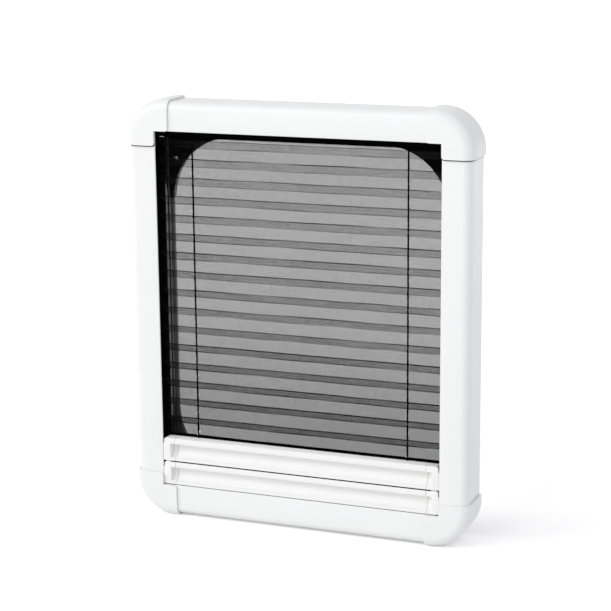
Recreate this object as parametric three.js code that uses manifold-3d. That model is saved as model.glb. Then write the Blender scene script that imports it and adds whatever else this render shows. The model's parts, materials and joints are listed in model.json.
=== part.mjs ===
// Cassette blind for a small window: a white frame with a pleated insect screen, drawn down from the top,
// and a pleated blackout blind, stored at the bottom and drawn up. Each cloth is held by a grip bar.
// Millimetres, +Z up, the front faces -Y. The right half is modelled, and the left half mirrors it.
import * as THREE from "three";
import { mergeVertices } from "three/addons/utils/BufferGeometryUtils.js";
import Module from "manifold-3d";

const wasm = await Module();
wasm.setup();

// Whole frame
const frameWidth = 500;
const frameHeight = 603;
const frameDepth = 60;
const sideFace = 41;
const topFace = 41;
const bottomFace = 44;
const seatGap = 0.3;
const runningGap = 0.5;
const cutOverrun = 5;

// Profiles
const profileWall = 2;
const profileRound = 12;
const rearFlange = 16;

// Corner caps
const capProud = 3.3;
const capLeg = 62;
const capCornerRadius = 58;
const capSeamRound = 4;
const capGrip = 6;
const capRim = 2.5;

// Corner brackets
const bracketLeg = 84;
const bracketFront = 12.3;
const bracketDepth = 18;
const bracketWidth = 9.7;

// Guide tracks
const trackWall = 1.8;
const trackEnd = 24;
const trackFrontFlange = 12;
const trackRearFlange = 28;
const grooveWidth = 5;
const grooveDepth = 4.7;

// Rear window edge, formed by the lips of the tracks, the header and the sill tray
const lipDepth = 5.4;
const sideLip = 2.9;
const topLip = 13.5;
const bottomLip = 15;

// Corner infill plates and their fixing screws
const infillThickness = 3;
const infillRadius = 90;
const infillSideLip = 4.3;
const infillFoot = 5;
const screwFromSide = 10;
const screwFromEdge = 31;
const screwHeadRadius = 3.3;
const screwHeadHeight = 1.7;
const screwCrownShare = 0.7;
const screwSocketShare = 0.45;
const screwRadius = 1.9;
const screwMargin = 1.5;
const bossRadius = 4.6;

// Header channel and sill tray
const headerDrop = 6;
const channelWall = 2;
const channelReach = 16;

// Pleated cloths
const pleatFront = 5.5;
const pleatDepth = 19;
const pleatCount = 16;
const screenThickness = 1.2;
const screenHem = 5.6;
const clothEdgeGap = 1.6;
const blackoutThickness = 9;
const clampHeight = 2.3;
const clampMargin = 0.8;

// Tension cords with their springs and ends
const cordInset = 50.6;
const cordDepth = 15;
const cordRadius = 1.1;
const cordHoleRadius = 1.6;
const springLength = 14;
const springRadius = 3.2;
const ferruleLength = 5;
const ferruleRadius = 2.6;
const cordEndLength = 6;
const cordTail = 2;

// Grip bars
const barHeight = 34.4;
const barDepth = 28;
const barFront = 0.5;
const barGap = 1;
const barEndGap = 1.5;
const barTopLip = 8.5;
const barBottomLip = 5;
const grooveBack = 12;
const grooveLipDrop = 1.4;
const barWall = 2;
const barEdgeRound = 0.6;
const barClampFront = 15.5;
const barClampDepth = 7;
const barClampHeight = 1.6;

// Bar ends, shoes, bushes and clips
const endRim = 10;
const endFloor = 7.7;
const endPlug = 10;
const endRound = 4;
const endRibProud = 1.2;
const endRibDepth = 18;
const shoeWidth = 12;
const shoeHeight = 18;
const tongueWidth = 4;
const bushRadius = 2;
const clipInset = 90;
const clipWidth = 18;
const clipHeight = 26;
const clipThickness = 2;

// Clip at the left end of the head clamp
const headClipInset = 5.7;
const headClipWidth = 7.5;
const headClipHeight = 1.8;
const headClipThickness = 1.2;

// Counts that set how smooth the round pieces are
const capCornerSteps = 12;
const capEdgeSteps = 5;
const arcSteps = 6;
const infillSteps = 16;
const turnSteps = 16;
const cordSides = 8;
const screwSocketSides = 6;
const barRoundSteps = 3;

// Levels and places that several pieces share
const outerX = frameWidth / 2;
const openX = outerX - sideFace;
const openTop = frameHeight - topFace;
const openBottom = bottomFace;
const trackX = openX + seatGap;
const insideBack = frameDepth - profileWall - seatGap;
const lipFront = insideBack - lipDepth;
const infillFront = lipFront - seatGap - infillThickness;
const screwHeadFront = infillFront - seatGap - screwHeadHeight;
const shoeBack = screwHeadFront - screwMargin;
const grooveCentre = shoeBack - runningGap - grooveWidth / 2 - trackWall / 2;
const webBack = profileWall + seatGap;
const cordX = openX - cordInset;
const clothX = openX - clothEdgeGap;
const pleatBack = pleatFront + pleatDepth;
const headerBottom = openTop - headerDrop;
const headerTop = frameHeight - channelReach;
const screenTop = headerBottom - clampHeight - 2 * seatGap;
const trayTop = openBottom - seatGap;
const trayFloor = channelReach + channelWall;
const lowerBarZ = openBottom + barGap;
const barPitch = barHeight + barGap;
const upperBarZ = lowerBarZ + barPitch;
const barBack = barFront + barDepth;
const barX = openX - barEndGap;
const bodyX = barX - endRim - endFloor;
const upperClampZ = upperBarZ + barHeight + seatGap;
const screenBottom = upperClampZ + barClampHeight + seatGap;
const hemBack = barClampFront + barClampDepth / 2;
const lowerClampZ = lowerBarZ - seatGap - clampHeight;
const blackoutTop = lowerClampZ - seatGap;
const blackoutBottom = trayFloor + clampHeight + 2 * seatGap;

// Finishes
function finish(color, roughness, metalness = 0) {
  return new THREE.MeshStandardMaterial({ color, roughness, metalness });
}

const whitePaint = finish("#f3f3f3", 0.35);
const whiteMoulding = finish("#efefef", 0.4);
const blackMoulding = finish("#0b0b0c", 0.45);
const paleMoulding = finish("#b9b9bb", 0.4);
const greyMesh = finish("#565456", 0.9);
const blackoutCloth = finish("#c9c9cc", 0.8);
const cordBraid = finish("#121212", 0.8);
const plainSteel = finish("#a9abad", 0.3, 1);
const brass = finish("#b08d4a", 0.35, 1);

// Directions that the sections are laid out on
const right = new THREE.Vector3(1, 0, 0);
const back = new THREE.Vector3(0, 1, 0);
const up = new THREE.Vector3(0, 0, 1);
const left = right.clone().negate();
const down = up.clone().negate();

// A closed geometry as a solid that can be joined and cut.
function solidOf(geometry) {
  const bare = geometry.clone();
  bare.deleteAttribute("normal");
  bare.deleteAttribute("uv");
  const merged = mergeVertices(bare);
  const vertProperties = merged.attributes.position.array;
  const triVerts = new Uint32Array(merged.index.array);
  return new wasm.Manifold(new wasm.Mesh({ numProp: 3, vertProperties, triVerts }));
}

function geometryOf(solid) {
  const { vertProperties, triVerts } = solid.getMesh();
  const geometry = new THREE.BufferGeometry();
  geometry.setAttribute("position", new THREE.BufferAttribute(vertProperties, 3));
  geometry.setIndex(new THREE.BufferAttribute(triVerts, 1));
  const flat = geometry.toNonIndexed();
  flat.computeVertexNormals();
  return flat;
}

const outline = (points) => new THREE.Shape(points.map(([a, b]) => new THREE.Vector2(a, b)));

// Points of an arc, with the angles in quarter turns.
function arc(a, b, radius, from, to, steps = arcSteps) {
  return Array.from({ length: steps + 1 }, (_, i) => {
    const angle = ((from + ((to - from) * i) / steps) * Math.PI) / 2;
    return [a + radius * Math.cos(angle), b + radius * Math.sin(angle)];
  });
}

const rectangle = (a0, a1, b0, b1) => outline([[a0, b0], [a1, b0], [a1, b1], [a0, b1]]);

// Extrudes a section whose axes are u and v, from the origin given, towards u x v.
function extrude(section, length, origin, u, v, bevel = {}) {
  const settings = { depth: length, bevelEnabled: false, curveSegments: arcSteps, ...bevel };
  const geometry = new THREE.ExtrudeGeometry(section, settings);
  const w = new THREE.Vector3().crossVectors(u, v);
  return geometry.applyMatrix4(new THREE.Matrix4().makeBasis(u, v, w).setPosition(origin));
}

// A section in depth and height, run along the width.
const rail = (section, x0, x1) => extrude(section, x1 - x0, new THREE.Vector3(x0, 0, 0), back, up);

// A plan in width and height, run through the depth.
const plate = (plan, y0, y1) => extrude(plan, y1 - y0, new THREE.Vector3(0, y1, 0), right, up);

// A section in width and depth, run upwards.
const post = (section, z0, z1) => extrude(section, z1 - z0, new THREE.Vector3(0, 0, z0), right, back);

const block = (x0, x1, y0, y1, z0, z1) => post(rectangle(x0, x1, y0, y1), z0, z1);

// A turned piece on an upright axis, from a closed profile of radii and heights.
function turned(profile, x, y, steps = turnSteps) {
  const points = profile.map(([radius, height]) => new THREE.Vector2(radius, height));
  return new THREE.LatheGeometry(points, steps).rotateX(Math.PI / 2).translate(x, y, 0);
}

function rod(x, y, radius, z0, z1, steps) {
  return turned([[0, z0], [radius, z0], [radius, z1], [0, z1]], x, y, steps);
}

function sleeve(x, y, inner, outer, z0, z1) {
  return turned([[inner, z0], [outer, z0], [outer, z1], [inner, z1], [inner, z0]], x, y);
}

// Joins the first list and cuts the second from it.
function made(parts, cuts = []) {
  const whole = parts.map(solidOf).reduce((sum, next) => sum.add(next));
  return geometryOf(cuts.map(solidOf).reduce((rest, next) => rest.subtract(next), whole));
}

const cordHole = (z0, z1, radius = cordHoleRadius) => rod(cordX, cordDepth, radius, z0, z1, cordSides);

// The two cord holes of a piece that runs over the full width.
function bothCordHoles(z0, z1, radius) {
  const hole = cordHole(z0, z1, radius);
  return [hole, hole.clone().translate(-2 * cordX, 0, 0)];
}

// The assembly: its origin is the middle of its footprint, under the bottom corner caps
const assembly = new THREE.Group();
assembly.name = "cassette_blind";
assembly.position.set(0, (capProud - frameDepth) / 2, capProud);

function add(name, geometry, material) {
  const mesh = new THREE.Mesh(geometry, material);
  mesh.name = name;
  assembly.add(mesh);
  return mesh;
}

function addPair(name, geometry, material) {
  add(`${name}_right`, geometry, material);
  add(`${name}_left`, geometry, material).scale.x = -1;
}

// Profiles: an open-backed shell whose outer front edge is rounded, laid out from its outer face inwards
function profileSection(face) {
  const innerRound = profileRound - profileWall;
  return outline([
    [0, frameDepth],
    ...arc(profileRound, profileRound, profileRound, 2, 3),
    [face, 0],
    [face, profileWall],
    ...arc(profileRound, profileRound, innerRound, 3, 2),
    [profileWall, frameDepth - profileWall],
    [profileWall + rearFlange, frameDepth - profileWall],
    [profileWall + rearFlange, frameDepth],
  ]);
}

const profileEnd = capLeg - capGrip;
const levelReach = outerX - profileEnd;
const levelLength = 2 * levelReach;
const uprightLength = frameHeight - 2 * profileEnd;
const topOrigin = new THREE.Vector3(-levelReach, 0, frameHeight);
const bottomOrigin = new THREE.Vector3(levelReach, 0, 0);
const sideOrigin = new THREE.Vector3(outerX, 0, frameHeight - profileEnd);
add("top_profile", extrude(profileSection(topFace), levelLength, topOrigin, down, back), whitePaint);
add("bottom_profile", extrude(profileSection(bottomFace), levelLength, bottomOrigin, up, back), whitePaint);
addPair("side_profile", extrude(profileSection(sideFace), uprightLength, sideOrigin, left, back), whitePaint);

// The outside of the whole frame as one pillow-edged block, grown outwards by the amount given
function pillow(grow) {
  const round = capCornerRadius - capProud - profileRound;
  const x = outerX - profileRound;
  const low = profileRound;
  const high = frameHeight - profileRound;
  const plan = outline([
    ...arc(x - round, high - round, round, 0, 1, capCornerSteps),
    ...arc(round - x, high - round, round, 1, 2, capCornerSteps),
    ...arc(round - x, low + round, round, 2, 3, capCornerSteps),
    ...arc(x - round, low + round, round, 3, 4, capCornerSteps),
  ]);
  const behind = frameDepth + cutOverrun;
  const edge = profileRound + grow;
  const bevel = { bevelEnabled: true, bevelThickness: edge, bevelSize: edge, bevelSegments: capEdgeSteps };
  return extrude(plan, behind - profileRound, new THREE.Vector3(0, behind, 0), right, up, bevel);
}

// Heights of the top corners, and of the bottom corners, measured inwards from the frame's outer face
const corners = {
  top: { face: topFace, level: (inwards) => frameHeight - inwards },
  bottom: { face: bottomFace, level: (inwards) => inwards },
};

// Corner caps: a shell over both profile ends, with a rim that closes its inner edge between them
function cornerCap({ face, level }) {
  const outside = capProud + cutOverrun;
  const seamX = outerX - capLeg;
  const inner = capSeamRound;
  const plan = outline([
    [outerX + outside, level(-outside)],
    [outerX + outside, level(capLeg)],
    ...arc(0, 0, inner, 3, 2).map(([a, b]) => [openX + inner + a, level(capLeg - inner - b)]),
    [openX, level(face)],
    ...arc(0, 0, inner, 1, 2).map(([a, b]) => [seamX + inner + a, level(face - inner + b)]),
    [seamX, level(-outside)],
  ]);
  const region = solidOf(plate(plan, -outside, frameDepth));
  const shell = solidOf(pillow(capProud)).intersect(region).subtract(solidOf(pillow(seatGap)));
  const rimFront = -capProud / 2;
  const rimEnd = profileEnd - seatGap;
  const [lowZ, highZ] = [level(rimEnd), level(face - capRim)].sort((a, b) => a - b);
  const [rimLow, rimHigh] = [level(face), level(face - capRim)].sort((a, b) => a - b);
  const upright = block(openX, openX + capRim, rimFront, profileWall, lowZ, highZ);
  const across = block(outerX - rimEnd, openX + capRim, rimFront, profileWall, rimLow, rimHigh);
  return geometryOf(shell.add(solidOf(upright)).add(solidOf(across)));
}

addPair("corner_cap_top", cornerCap(corners.top), whiteMoulding);
addPair("corner_cap_bottom", cornerCap(corners.bottom), whiteMoulding);

// Corner brackets: bent angles that plug into two profiles, just inside their outer walls
function cornerBracket({ level }) {
  const near = profileWall + seatGap;
  const far = near + bracketWidth;
  const bend = capCornerRadius - capProud;
  const plan = outline([
    [outerX - bracketLeg, level(near)],
    ...arc(0, 0, bend - near, 1, 0).map(([a, b]) => [outerX - bend + a, level(bend - b)]),
    [outerX - near, level(bracketLeg)],
    [outerX - far, level(bracketLeg)],
    ...arc(0, 0, bend - far, 0, 1).map(([a, b]) => [outerX - bend + a, level(bend - b)]),
    [outerX - bracketLeg, level(far)],
  ]);
  return plate(plan, bracketFront, bracketFront + bracketDepth);
}

addPair("corner_bracket_top", cornerBracket(corners.top), paleMoulding);
addPair("corner_bracket_bottom", cornerBracket(corners.bottom), paleMoulding);

// Guide tracks: the black inner walls, each with a groove for the bar shoes and a lip at the rear window
const grooveFront = grooveCentre - grooveWidth / 2;
const grooveRear = grooveCentre + grooveWidth / 2;
const trackBack = trackX + trackWall;
const track = outline([
  [trackX, webBack],
  [trackX, grooveFront],
  [trackX + grooveDepth, grooveFront],
  [trackX + grooveDepth, grooveRear],
  [trackX, grooveRear],
  [trackX, lipFront],
  [openX - sideLip, lipFront],
  [openX - sideLip, insideBack],
  [trackX + trackRearFlange, insideBack],
  [trackX + trackRearFlange, insideBack - trackWall],
  [trackBack, insideBack - trackWall],
  [trackBack, grooveRear + trackWall],
  [trackBack + grooveDepth, grooveRear + trackWall],
  [trackBack + grooveDepth, grooveFront - trackWall],
  [trackBack, grooveFront - trackWall],
  [trackBack, webBack + trackWall],
  [trackBack + trackFrontFlange, webBack + trackWall],
  [trackBack + trackFrontFlange, webBack],
]);
addPair("guide_track", post(track, trackEnd, frameHeight - trackEnd), blackMoulding);

// Room that the header and the tray leave for the lips of the guide tracks
const channelX = openX;
const lipRoomX = openX - sideLip - seatGap;
function lipRooms() {
  const room = block(lipRoomX, channelX + cutOverrun, lipFront - seatGap, frameDepth, 0, frameHeight);
  return [room, room.clone().translate(-lipRoomX - channelX - cutOverrun, 0, 0)];
}

// Header channel: a closed black box under the top profile, with the rear lip and the cord springs inside
const headerFloor = headerBottom + channelWall;
const header = outline([
  [webBack, headerBottom],
  [lipFront, headerBottom],
  [lipFront, openTop - topLip],
  [insideBack, openTop - topLip],
  [insideBack, headerTop],
  [webBack, headerTop],
]);
header.holes.push(
  rectangle(webBack + channelWall, lipFront - channelWall, headerFloor, headerTop - channelWall),
);
const headerHoles = bothCordHoles(headerBottom - cutOverrun, headerFloor + cutOverrun);
const headerBox = rail(header, -channelX, channelX);
add("header_channel", made([headerBox], [...headerHoles, ...lipRooms()]), blackMoulding);

// Sill tray: a black trough behind the bottom profile, which holds the blackout pack
const tray = outline([
  [webBack, channelReach],
  [insideBack, channelReach],
  [insideBack, openBottom + bottomLip],
  [lipFront, openBottom + bottomLip],
  [lipFront, trayFloor],
  [webBack + channelWall, trayFloor],
  [webBack + channelWall, trayTop],
  [webBack, trayTop],
]);
const trayHoles = bothCordHoles(channelReach - cutOverrun, trayFloor + cutOverrun);
const trough = rail(tray, -channelX, channelX);
add("sill_tray", made([trough], [...trayHoles, ...lipRooms()]), blackMoulding);

// A turned piece whose axis runs through the depth, such as a screw or its boss.
function turnedAcross(profile, x, z) {
  const points = profile.map(([radius, y]) => new THREE.Vector2(radius, y));
  return new THREE.LatheGeometry(points, turnSteps).translate(x, 0, z);
}

function rodAcross(radius, y0, y1, x, z) {
  return turnedAcross([[0, y0], [radius, y0], [radius, y1], [0, y1]], x, z);
}

// Corner infills: plates with a concave edge at the rear window's corners, each with a screw boss
const infillBack = lipFront - seatGap;
const infillArcX = openX - infillSideLip - infillRadius;
const screwX = openX - screwFromSide;
function cornerInfill({ level }, windowEdge, foot) {
  const centre = windowEdge + infillRadius;
  const plan = outline([
    ...arc(0, 0, infillRadius, 0, 1, infillSteps).map(([a, b]) => [infillArcX + a, level(centre - b)]),
    [infillArcX, level(foot)],
    [channelX, level(foot)],
    [channelX, level(centre)],
  ]);
  const screwZ = level(windowEdge + screwFromEdge);
  const boss = rodAcross(bossRadius, infillBack - infillThickness / 2, frameDepth, screwX, screwZ);
  const boreRadius = screwRadius + seatGap;
  const bore = rodAcross(boreRadius, infillFront - cutOverrun, frameDepth + cutOverrun, screwX, screwZ);
  return made([plate(plan, infillFront, infillBack), boss], [bore]);
}

// Fixing screws: a shallow pan head with a hexagonal socket, on a shank that reaches the wall face
function fixingScrew({ level }, windowEdge) {
  const z = level(windowEdge + screwFromEdge);
  const rim = screwHeadFront + screwHeadHeight / 2;
  const underHead = screwHeadFront + screwHeadHeight;
  const profile = [
    [0, screwHeadFront],
    [screwHeadRadius * screwCrownShare, screwHeadFront],
    [screwHeadRadius, rim],
    [screwHeadRadius, underHead],
    [screwRadius, underHead],
    [screwRadius, frameDepth - seatGap],
    [0, frameDepth - seatGap],
  ];
  const socketRadius = screwHeadRadius * screwSocketShare;
  const socketPlan = outline(arc(0, 0, socketRadius, 0, 4, screwSocketSides).slice(1));
  const socket = plate(socketPlan, screwHeadFront - cutOverrun, rim);
  return made([turnedAcross(profile, screwX, z)], [socket.translate(screwX, 0, z)]);
}

const topWindow = topFace + topLip;
const bottomWindow = bottomFace + bottomLip;
const topInfillFoot = topFace + headerDrop + seatGap;
const bottomInfillFoot = bottomWindow - infillFoot;
addPair("corner_infill_top", cornerInfill(corners.top, topWindow, topInfillFoot), blackMoulding);
addPair("corner_infill_bottom", cornerInfill(corners.bottom, bottomWindow, bottomInfillFoot), blackMoulding);
addPair("fixing_screw_top", fixingScrew(corners.top, topWindow), plainSteel);
addPair("fixing_screw_bottom", fixingScrew(corners.bottom, bottomWindow), plainSteel);

// Clamp strips: each grips one edge of a cloth, with room for both cords
function clampStrip(y0, y1, z0, z1) {
  return made([block(-clothX, clothX, y0, y1, z0, z1)], bothCordHoles(z0 - cutOverrun, z1 + cutOverrun));
}

const clampFront = pleatFront - clampMargin;
const clampBack = pleatBack + clampMargin;
const headClampZ = screenTop + seatGap;
const sillClampZ = trayFloor + seatGap;
const headClamp = clampStrip(clampFront, clampBack, headClampZ, headClampZ + clampHeight);
const sillClamp = clampStrip(clampFront, clampBack, sillClampZ, sillClampZ + clampHeight);
add("screen_head_clamp", headClamp, blackMoulding);
add("blackout_sill_clamp", sillClamp, blackMoulding);

// Head clip: a small pale plate on the front of the head clamp, near its left end
const headClipX = headClipInset - openX;
const headClipBack = clampFront - seatGap;
const headClipZ = headClampZ + (clampHeight - headClipHeight) / 2;
const headClip = block(
  headClipX, headClipX + headClipWidth,
  headClipBack - headClipThickness, headClipBack,
  headClipZ, headClipZ + headClipHeight,
);
add("head_clip", headClip, paleMoulding);

// Pleated cloths: a zigzag in depth from the top fold down, and a square hole in each fold for each cord.
// The hem runs back from the lowest front fold to its clamp.
function pleatedCloth(top, bottom, hem, thickness) {
  const halfPleat = (top - bottom - hem) / (2 * pleatCount);
  const front = pleatFront + thickness / 2;
  const rear = pleatBack - thickness / 2;
  const fold = (_, i) => [i % 2 ? rear : front, top - i * halfPleat];
  const folds = Array.from({ length: 2 * pleatCount + 1 }, fold);
  if (hem > 0) folds.push([hemBack, bottom]);
  const shifted = (by) => folds.map(([y, z]) => [y + by, z]);
  const section = outline([...shifted(-thickness / 2), ...shifted(thickness / 2).reverse()]);
  const hole = block(
    cordX - cordHoleRadius, cordX + cordHoleRadius,
    cordDepth - cordHoleRadius, cordDepth + cordHoleRadius,
    bottom - cutOverrun, top + cutOverrun,
  );
  return made([rail(section, -clothX, clothX)], [hole, hole.clone().translate(-2 * cordX, 0, 0)]);
}

add("insect_screen", pleatedCloth(screenTop, screenBottom, screenHem, screenThickness), greyMesh);
add("blackout_fabric", pleatedCloth(blackoutTop, blackoutBottom, 0, blackoutThickness), blackoutCloth);

// Tension cords: each runs straight from its ferrule and spring in the header to its end under the tray
const springZ = headerFloor + seatGap;
const ferruleZ = springZ + springLength + seatGap;
const cordEndZ = channelReach - seatGap - cordEndLength;
const grip = cordRadius + seatGap;
const cordTop = ferruleZ + ferruleLength + cordTail;
const cord = rod(cordX, cordDepth, cordRadius, cordEndZ - cordTail, cordTop, cordSides);
const spring = sleeve(cordX, cordDepth, cordHoleRadius, springRadius, springZ, springZ + springLength);
const ferrule = sleeve(cordX, cordDepth, grip, ferruleRadius, ferruleZ, ferruleZ + ferruleLength);
const cordEnd = sleeve(cordX, cordDepth, grip, ferruleRadius, cordEndZ, cordEndZ + cordEndLength);
addPair("tension_cord", cord, cordBraid);
addPair("tension_spring", spring, plainSteel);
addPair("cord_ferrule", ferrule, brass);
addPair("cord_end", cordEnd, brass);

// Grip bars: the section of both, with a scooped finger groove under the top lip
const hollowFront = barFront + grooveBack + barWall;
function barSection(z) {
  const lipZ = z + barHeight - barTopLip;
  const scoopTop = lipZ - grooveLipDrop;
  const scoopBottom = z + barBottomLip;
  const scoopHeight = scoopTop - scoopBottom;
  const scoop = arc(0, 0, 1, 3, 4).map(([a, b]) => [barFront + grooveBack * a, scoopTop + scoopHeight * b]);
  return outline([
    [barBack, z],
    ...arc(barFront + barEdgeRound, z + barEdgeRound, barEdgeRound, 3, 2),
    ...scoop,
    ...arc(barFront + barEdgeRound, lipZ + barEdgeRound, barEdgeRound, 3, 2),
    ...arc(barFront + barEdgeRound, z + barHeight - barEdgeRound, barEdgeRound, 2, 1),
    [barBack, z + barHeight],
  ]);
}

// The extrusion of a bar: hollow behind the groove, with a hole for each cord
function barExtrusion(z) {
  const section = barSection(z);
  section.holes.push(rectangle(hollowFront, barBack - barWall, z + barWall, z + barHeight - barWall));
  const bushSeats = bothCordHoles(z - cutOverrun, z + barWall, bushRadius + seatGap);
  const holes = bothCordHoles(z - cutOverrun, z + barHeight + cutOverrun);
  return made([rail(section, -bodyX, bodyX)], [...bushSeats, ...holes]);
}

// The end of a bar: a rounded rim, a stretch of groove floor, a plug in the extrusion and a side rib
function barEnd(z) {
  const round = endRound - barEdgeRound;
  const rimX = barX - endRim + barEdgeRound;
  const farX = barX - barEdgeRound;
  const lowZ = z + barEdgeRound;
  const highZ = z + barHeight - barEdgeRound;
  const rimPlan = outline([
    [rimX, lowZ],
    ...arc(farX - round, lowZ + round, round, 3, 4),
    ...arc(farX - round, highZ - round, round, 0, 1),
    [rimX, highZ],
  ]);
  const edge = barEdgeRound;
  const bevel = { bevelEnabled: true, bevelThickness: edge, bevelSize: edge, bevelSegments: barRoundSteps };
  const rimBack = barBack - edge;
  const rimOrigin = new THREE.Vector3(0, rimBack, 0);
  const rim = extrude(rimPlan, rimBack - barFront - edge, rimOrigin, right, up, bevel);
  const floor = rail(barSection(z), bodyX + seatGap, barX - endRim + 2 * edge);
  const inset = barWall + seatGap;
  const plug = block(
    bodyX - endPlug, bodyX + endFloor / 2,
    hollowFront + seatGap, barBack - inset,
    z + inset, z + barHeight - inset,
  );
  const ribFront = barFront + edge;
  const ribTop = z + barHeight - barTopLip;
  const rib = block(
    barX - endRound, barX + endRibProud,
    ribFront, ribFront + endRibDepth,
    z + edge, ribTop,
  );
  return made([rim, floor, plug, rib]);
}

// The shoe of a bar: a block behind the bar end, with a tongue in the groove of the guide track
function guideShoe(z) {
  const z0 = z + (barHeight - shoeHeight) / 2;
  const z1 = z0 + shoeHeight;
  const sideX = barX + endRibProud;
  const body = block(barX - shoeWidth, sideX, barBack + seatGap, shoeBack, z0, z1);
  const tongueFront = grooveCentre - tongueWidth / 2;
  const tongueTip = trackX + grooveDepth - runningGap;
  const tongue = block(barX, tongueTip, tongueFront, tongueFront + tongueWidth, z0, z1);
  return made([body, tongue]);
}

const bush = (z) => sleeve(cordX, cordDepth, grip, bushRadius, z + seatGap, z + barWall);

for (const [bar, z] of [["screen_bar", upperBarZ], ["blackout_bar", lowerBarZ]]) {
  add(bar, barExtrusion(z), whitePaint);
  addPair(`${bar}_end`, barEnd(z), whiteMoulding);
  addPair(`${bar}_shoe`, guideShoe(z), blackMoulding);
  addPair(`${bar}_cord_bush`, bush(z), paleMoulding);
}
const barClampBack = barClampFront + barClampDepth;
const upperClamp = clampStrip(barClampFront, barClampBack, upperClampZ, upperClampZ + barClampHeight);
const lowerClamp = clampStrip(clampFront, clampBack, lowerClampZ, lowerClampZ + clampHeight);
add("screen_bar_clamp", upperClamp, blackMoulding);
add("blackout_bar_clamp", lowerClamp, blackMoulding);

// Bar clips: small plates at the back that hold the two bars together
const clipX = barX - clipInset;
const clipMiddle = lowerBarZ + barHeight + barGap / 2;
const clipFront = barBack + seatGap;
const clip = block(
  clipX, clipX + clipWidth,
  clipFront, clipFront + clipThickness,
  clipMiddle - clipHeight / 2, clipMiddle + clipHeight / 2,
);
addPair("bar_clip", clip, paleMoulding);

export default assembly;
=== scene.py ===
# Looks of a cassette blind for a small window: a white frame with rounded corner caps, a pleated insect
# screen drawn down over the opening, a pleated blackout cloth stored below it, and their two grip bars.
# Sizes are in millimetres, from the middle, the front face and the lower edge of the frame.
import json
import math
import random

import bmesh
import bpy
from mathutils import Matrix, Vector
from mathutils.geometry import tessellate_polygon

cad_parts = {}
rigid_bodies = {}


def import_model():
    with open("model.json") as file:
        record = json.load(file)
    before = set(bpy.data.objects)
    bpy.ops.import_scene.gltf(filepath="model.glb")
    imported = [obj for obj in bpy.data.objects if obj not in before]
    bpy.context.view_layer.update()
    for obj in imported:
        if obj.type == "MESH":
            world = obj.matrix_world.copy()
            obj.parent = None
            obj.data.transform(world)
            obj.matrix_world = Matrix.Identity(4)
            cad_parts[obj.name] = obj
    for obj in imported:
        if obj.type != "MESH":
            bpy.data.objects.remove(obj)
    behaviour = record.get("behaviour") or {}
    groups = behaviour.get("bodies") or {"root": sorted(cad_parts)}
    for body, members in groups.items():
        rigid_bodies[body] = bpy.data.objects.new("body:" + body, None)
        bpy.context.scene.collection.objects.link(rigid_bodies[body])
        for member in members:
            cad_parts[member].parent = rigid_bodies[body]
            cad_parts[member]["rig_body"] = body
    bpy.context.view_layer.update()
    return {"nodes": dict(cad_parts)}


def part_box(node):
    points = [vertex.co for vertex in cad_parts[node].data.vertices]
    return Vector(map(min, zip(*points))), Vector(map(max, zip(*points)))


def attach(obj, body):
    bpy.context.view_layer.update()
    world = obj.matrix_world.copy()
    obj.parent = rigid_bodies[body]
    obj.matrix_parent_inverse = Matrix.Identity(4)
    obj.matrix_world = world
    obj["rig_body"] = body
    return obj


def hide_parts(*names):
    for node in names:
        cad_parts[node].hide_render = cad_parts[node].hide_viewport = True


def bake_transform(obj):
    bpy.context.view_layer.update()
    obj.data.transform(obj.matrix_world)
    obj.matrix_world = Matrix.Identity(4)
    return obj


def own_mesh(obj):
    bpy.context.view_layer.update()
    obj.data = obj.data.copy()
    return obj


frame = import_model()

# Frame profiles: four lengths of extruded aluminium, powder coated white in a satin finish.
# Each is an open-backed shell with a well rounded outer edge, and the corner caps cover its ends.
# Corner brackets behind the caps hold the four together.
millimetre = 0.001
front_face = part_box("top_profile")[0].y
lower_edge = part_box("bottom_profile")[0].z
frame_width = 500
frame_height = 603
frame_depth = 60
side_face = 41
top_face = 41
bottom_face = 44
profile_wall = 2
profile_round = 12
profile_bead = 0.9
rear_flange = 16
profile_end = 56
profile_round_steps = 14
profile_bead_steps = 4
profile_inner_steps = 10
broad_tone = 60
smooth_angle = 35
powder_white = "#edeeed"
powder_shade = "#e9eae9"
orange_peel = 1.6
orange_peel_relief = 0.012


def at(x, y, z):
    """The place of a point given in millimetres, in the metres of the shared frame."""
    return Vector((x * millimetre, front_face + y * millimetre, lower_edge + z * millimetre))


def linear(code):
    """The linear colour of an sRGB hex code."""
    shares = [int(code[i : i + 2], 16) / 255 for i in (1, 3, 5)]
    return [s / 12.92 if s <= 0.04045 else ((s + 0.055) / 1.055) ** 2.4 for s in shares] + [1]


def add_node(tree, kind, settings=None, links=None):
    """Adds a node, gives its properties and sockets their values, and links other nodes to it."""
    made = tree.nodes.new(kind)
    for key, value in (settings or {}).items():
        if isinstance(key, int) or key in made.inputs:
            made.inputs[key].default_value = value
        else:
            setattr(made, key, value)
    for key, source in (links or {}).items():
        tree.links.new(source, made.inputs[key])
    return made


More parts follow.
